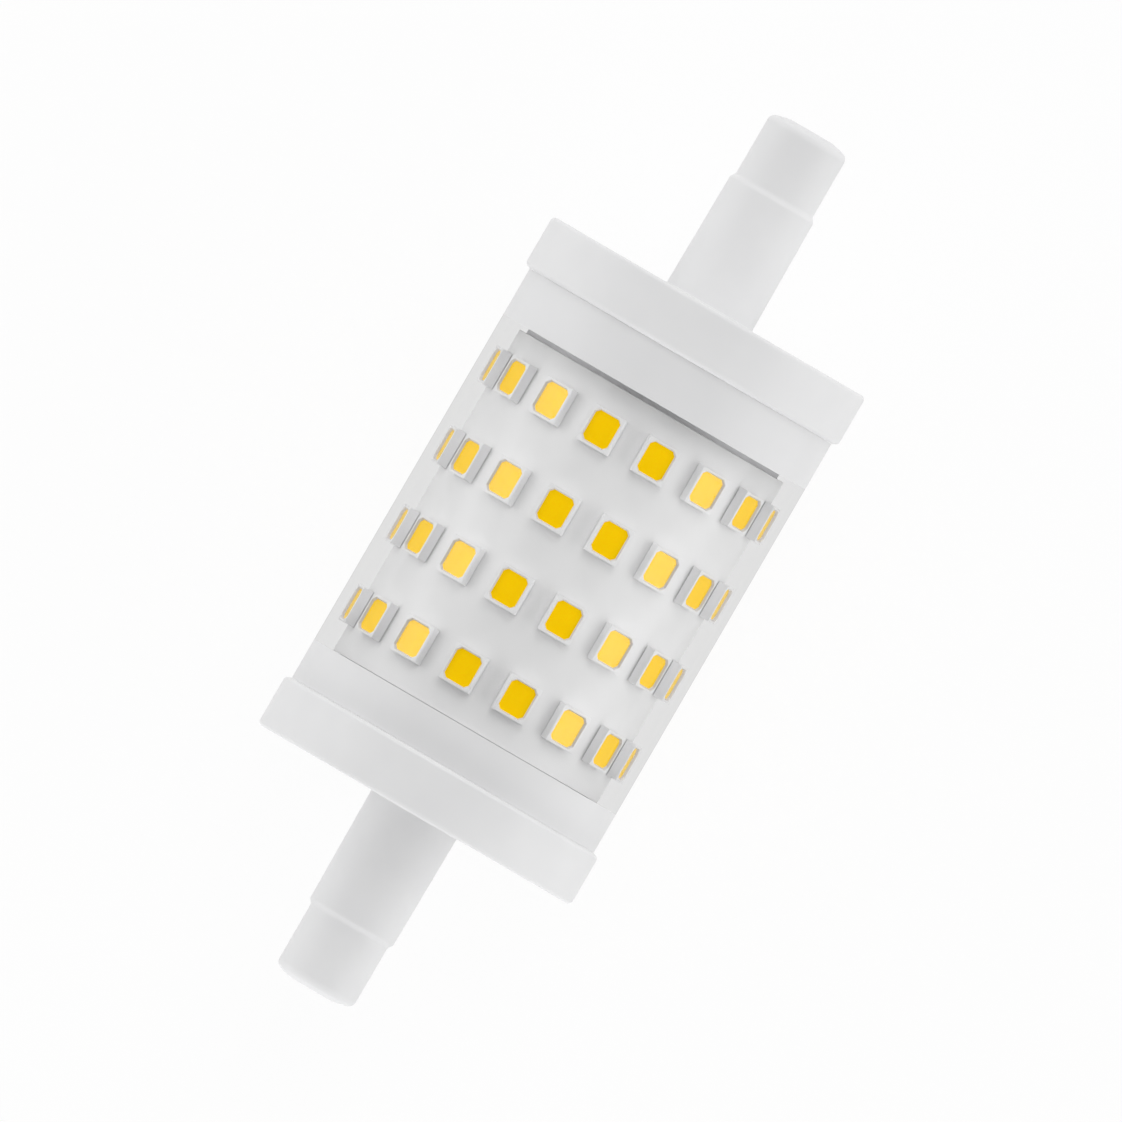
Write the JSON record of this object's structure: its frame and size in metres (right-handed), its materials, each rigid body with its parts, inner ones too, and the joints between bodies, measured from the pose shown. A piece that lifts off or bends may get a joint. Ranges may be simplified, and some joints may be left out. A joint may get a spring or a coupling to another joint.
{
  "type": "double-ended linear led lamp",
  "caption": "Double-ended linear LED lamp: rings of yellow LEDs on a white board under a clear tube, between white end caps with recessed contacts.",
  "frame": {"origin": "middle of the lamp's length, on its axis", "axes": "+X along the lamp's axis towards the upper contact, +Z out of the front, midway between two columns of LEDs"},
  "size_m": [0.078, 0.0284, 0.0284],
  "materials": {
    "cap_plastic": "satin white moulded plastic",
    "clear_tube": "clear gloss",
    "core_metal": "plain drawn tube",
    "board_mask": "white solder mask",
    "led_housing": "white moulded",
    "led_phosphor": "yellow phosphor gel",
    "contact_metal": "nickel plate",
    "wire_cover": "white insulation",
    "tinned_metal": "tinned",
    "sleeve_plastic": "natural insulating plastic",
    "driver_laminate": "green circuit board",
    "capacitor_can": "dark sleeve over the can",
    "ferrite": "dark ferrite",
    "winding_copper": "enamelled copper",
    "fuse_lacquer": "lacquer",
    "package_black": "black moulding"
  },
  "bodies": {
    "root": {"end_cap_upper": "cap_plastic", "end_cap_lower": "cap_plastic", "cover_tube": "clear_tube", "heat_sink_core": "core_metal", "led_board": "board_mask", "led_housings_row_1": "led_housing", "led_housings_row_2": "led_housing", "led_housings_row_3": "led_housing", "led_housings_row_4": "led_housing", "led_phosphors_row_1": "led_phosphor", "led_phosphors_row_2": "led_phosphor", "led_phosphors_row_3": "led_phosphor", "led_phosphors_row_4": "led_phosphor", "contact_upper": "contact_metal", "contact_lower": "contact_metal", "lead_wire_upper": "wire_cover", "lead_wire_lower": "wire_cover", "feed_wires": "tinned_metal", "feed_joints": "tinned_metal", "insulating_sleeve": "sleeve_plastic", "driver_board": "driver_laminate", "smoothing_capacitor": "capacitor_can", "inductor_core": "ferrite", "inductor_winding": "winding_copper", "fuse_resistor": "fuse_lacquer", "bridge_rectifier": "package_black", "driver_chip": "package_black", "chip_resistors": "package_black"}
  },
  "joints": []
}
